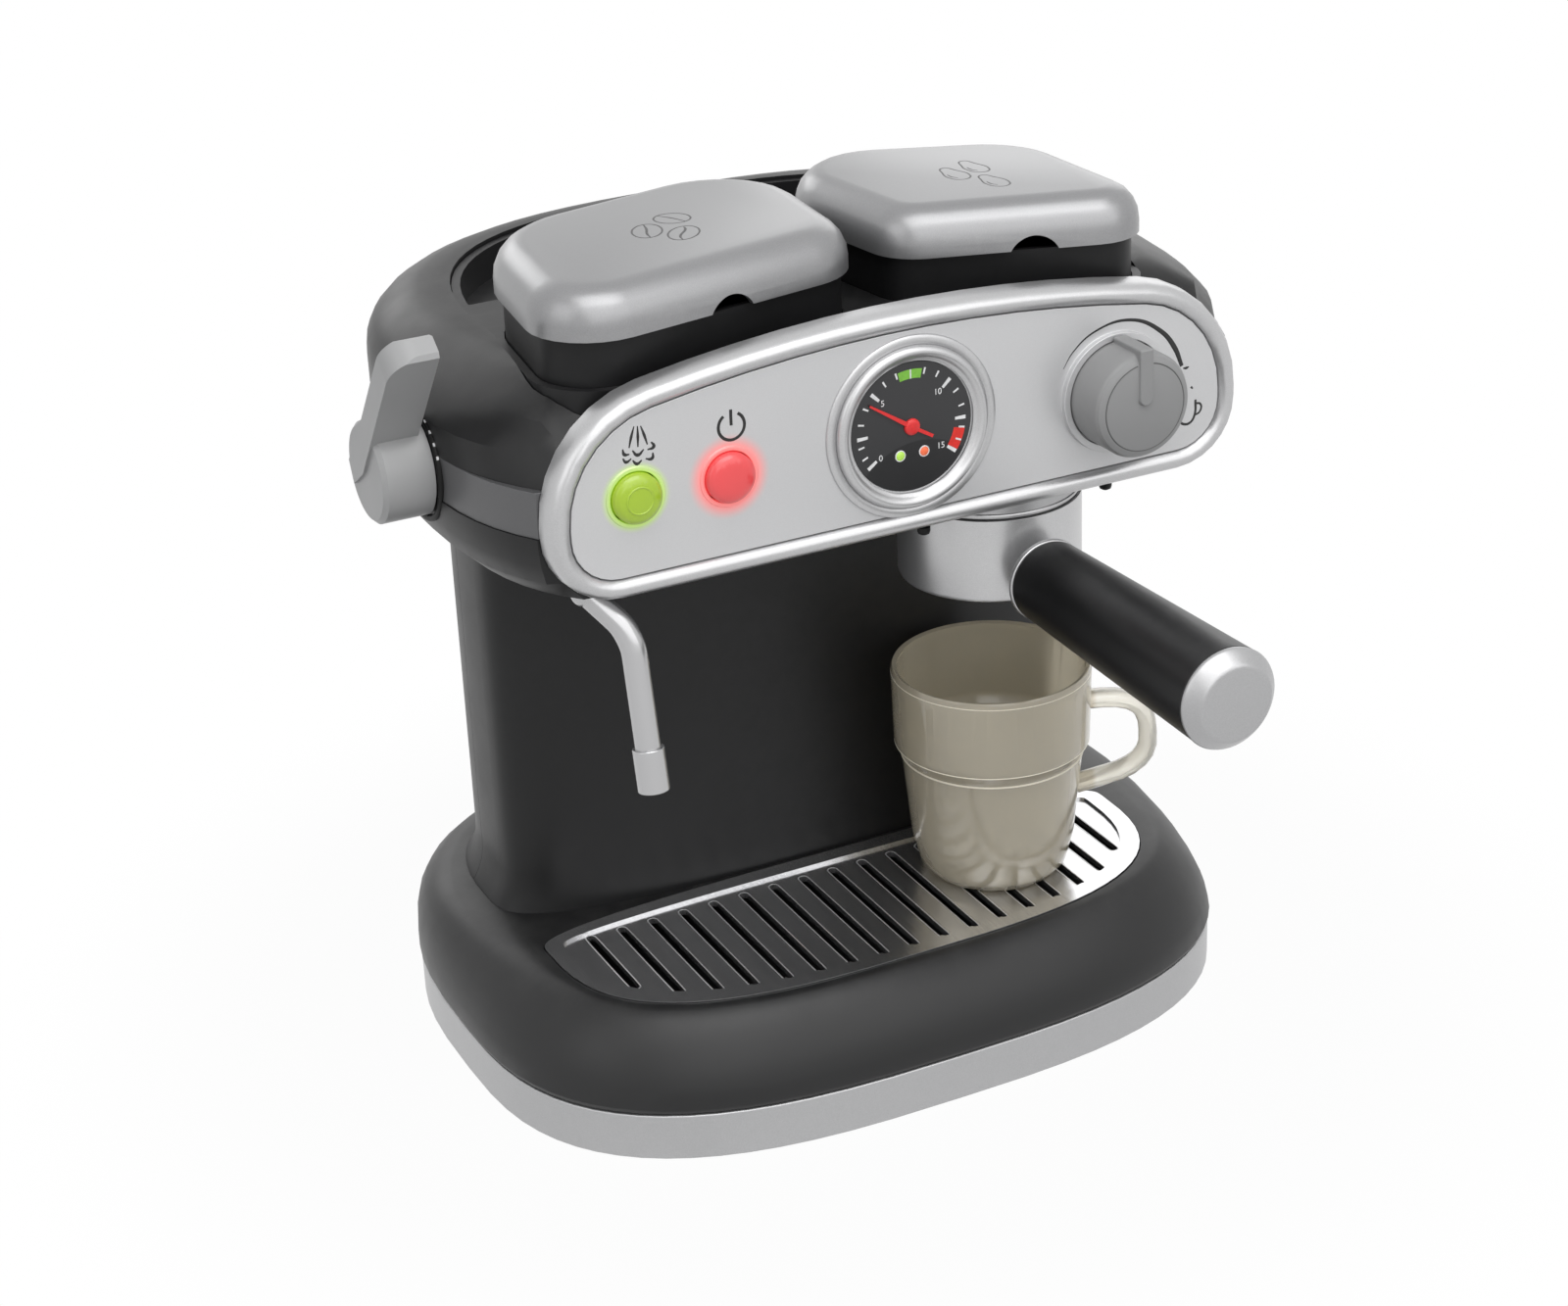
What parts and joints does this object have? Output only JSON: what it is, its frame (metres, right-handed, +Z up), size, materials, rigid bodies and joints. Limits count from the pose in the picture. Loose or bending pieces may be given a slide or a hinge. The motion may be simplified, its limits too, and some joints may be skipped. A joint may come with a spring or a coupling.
{
  "type": "toy coffee maker",
  "caption": "Toy espresso machine with a gauge panel, lever, knob, buttons, steam wand, portafilter, lidded containers, drip tray and cup.",
  "frame": {"origin": "centre of the base outline, on the underside that the machine stands on", "axes": "+Z up, -Y towards the user, +X to the right as the user sees it"},
  "size_m": [0.2351, 0.2474, 0.2335],
  "materials": {
    "satin_black_plastic": "satin",
    "dark_liner_plastic": "matte",
    "silver_paint_plastic": "satin metallic paint",
    "grey_paint_plastic": "satin metallic paint",
    "natural_plastic": "satin",
    "green_lit_plastic": "translucent",
    "red_lit_plastic": "translucent",
    "dial_plastic": "gloss",
    "cup_plastic": "pearly translucent",
    "rubber": "matte",
    "steel": "satin",
    "board": "satin",
    "battery_wrap": "gloss",
    "hose_plastic": "satin"
  },
  "bodies": {
    "machine": {"base_band": "silver_paint_plastic", "base_cover": "satin_black_plastic", "base_plate": "dark_liner_plastic", "base_screws": "steel", "battery_door": "dark_liner_plastic", "door_screw": "steel", "batteries": "battery_wrap", "battery_contacts": "steel", "drip_tray": "dark_liner_plastic", "column_front": "satin_black_plastic", "rear_cover": "satin_black_plastic", "rear_screws": "steel", "speaker": "steel", "head_lower": "satin_black_plastic", "head_band": "grey_paint_plastic", "head_upper": "satin_black_plastic", "top_deck": "satin_black_plastic", "fascia_bezel": "silver_paint_plastic", "fascia_panel": "silver_paint_plastic", "gauge_ring": "silver_paint_plastic", "gauge_dial": "dial_plastic", "valve_body": "natural_plastic", "valve_seal": "rubber", "inlet_seal": "rubber", "group_hose": "hose_plastic", "lever_bushing": "natural_plastic", "circuit_board": "board", "tact_switches": "dark_liner_plastic", "leds": "natural_plastic", "group_head": "silver_paint_plastic", "shower_disc": "natural_plastic", "wand_socket": "dark_liner_plastic"},
    "knob": {"brew_knob": "grey_paint_plastic", "knob_shaft": "natural_plastic"},
    "lever": {"steam_lever": "grey_paint_plastic", "lever_shaft": "natural_plastic"},
    "green_push_button": {"green_button": "green_lit_plastic"},
    "red_push_button": {"red_button": "red_lit_plastic"},
    "portafilter": {"portafilter_bowl": "silver_paint_plastic", "bowl_spout": "dark_liner_plastic", "handle_ring": "silver_paint_plastic", "portafilter_handle": "satin_black_plastic", "handle_cap": "silver_paint_plastic"},
    "wand": {"steam_wand": "silver_paint_plastic", "wand_tip": "silver_paint_plastic"},
    "bean_container": {"bean_box": "dark_liner_plastic", "bean_hinge_pin": "steel"},
    "bean_cover": {"bean_lid": "silver_paint_plastic"},
    "water_container": {"water_tank": "dark_liner_plastic", "water_hinge_pin": "steel"},
    "water_cover": {"water_lid": "silver_paint_plastic"},
    "grille": {"drip_grille": "silver_paint_plastic"},
    "coffee_cup": {"cup": "cup_plastic"}
  },
  "joints": [
    {"name": "brew_knob_turn", "type": "hinge", "parent": "machine", "child": "knob", "pos_m": [0.0597, -0.0628, 0.1845], "axis": [0, 1, 0], "range_deg": [-90, 90]},
    {"name": "steam_lever_turn", "type": "hinge", "parent": "machine", "child": "lever", "pos_m": [-0.118, -0.006, 0.182], "axis": [1, 0, 0], "range_deg": [-40, 45]},
    {"name": "green_button_press", "type": "slide", "parent": "machine", "child": "green_push_button", "axis": [0, 1, 0], "range_m": [0, 0.002], "stiffness_N_per_m": 400, "springref_m": -0.0005},
    {"name": "red_button_press", "type": "slide", "parent": "machine", "child": "red_push_button", "axis": [0, 1, 0], "range_m": [0, 0.002], "stiffness_N_per_m": 400, "springref_m": -0.0005},
    {"name": "portafilter_twist", "type": "hinge", "parent": "machine", "child": "portafilter", "pos_m": [0.04, -0.031, 0.14], "axis": [0, 0, 1], "range_deg": [-45, 0]},
    {"name": "wand_swivel", "type": "hinge", "parent": "machine", "child": "wand", "pos_m": [-0.0855, -0.05, 0.1577], "axis": [0, 0, 1], "range_deg": [-25, 25]},
    {"name": "bean_container_lift", "type": "slide", "parent": "machine", "child": "bean_container", "axis": [0, 0, 1], "range_m": [0, 0.03]},
    {"name": "bean_lid_open", "type": "hinge", "parent": "bean_container", "child": "bean_cover", "pos_m": [-0.04498, 0.02514, 0.221], "axis": [-0.9788, -0.205, 0], "range_deg": [0, 95]},
    {"name": "water_container_lift", "type": "slide", "parent": "machine", "child": "water_container", "axis": [0, 0, 1], "range_m": [0, 0.03]},
    {"name": "water_lid_open", "type": "hinge", "parent": "water_container", "child": "water_cover", "pos_m": [0.05026, 0.02179, 0.221], "axis": [-0.9128, 0.4085, 0], "range_deg": [0, 95]},
    {"name": "drip_grille_lift", "type": "slide", "parent": "machine", "child": "grille", "axis": [0, 0, 1], "range_m": [0, 0.012]},
    {"name": "cup_lift", "type": "slide", "parent": "grille", "child": "coffee_cup", "axis": [0, 0, 1], "range_m": [0, 0.007]}
  ]
}
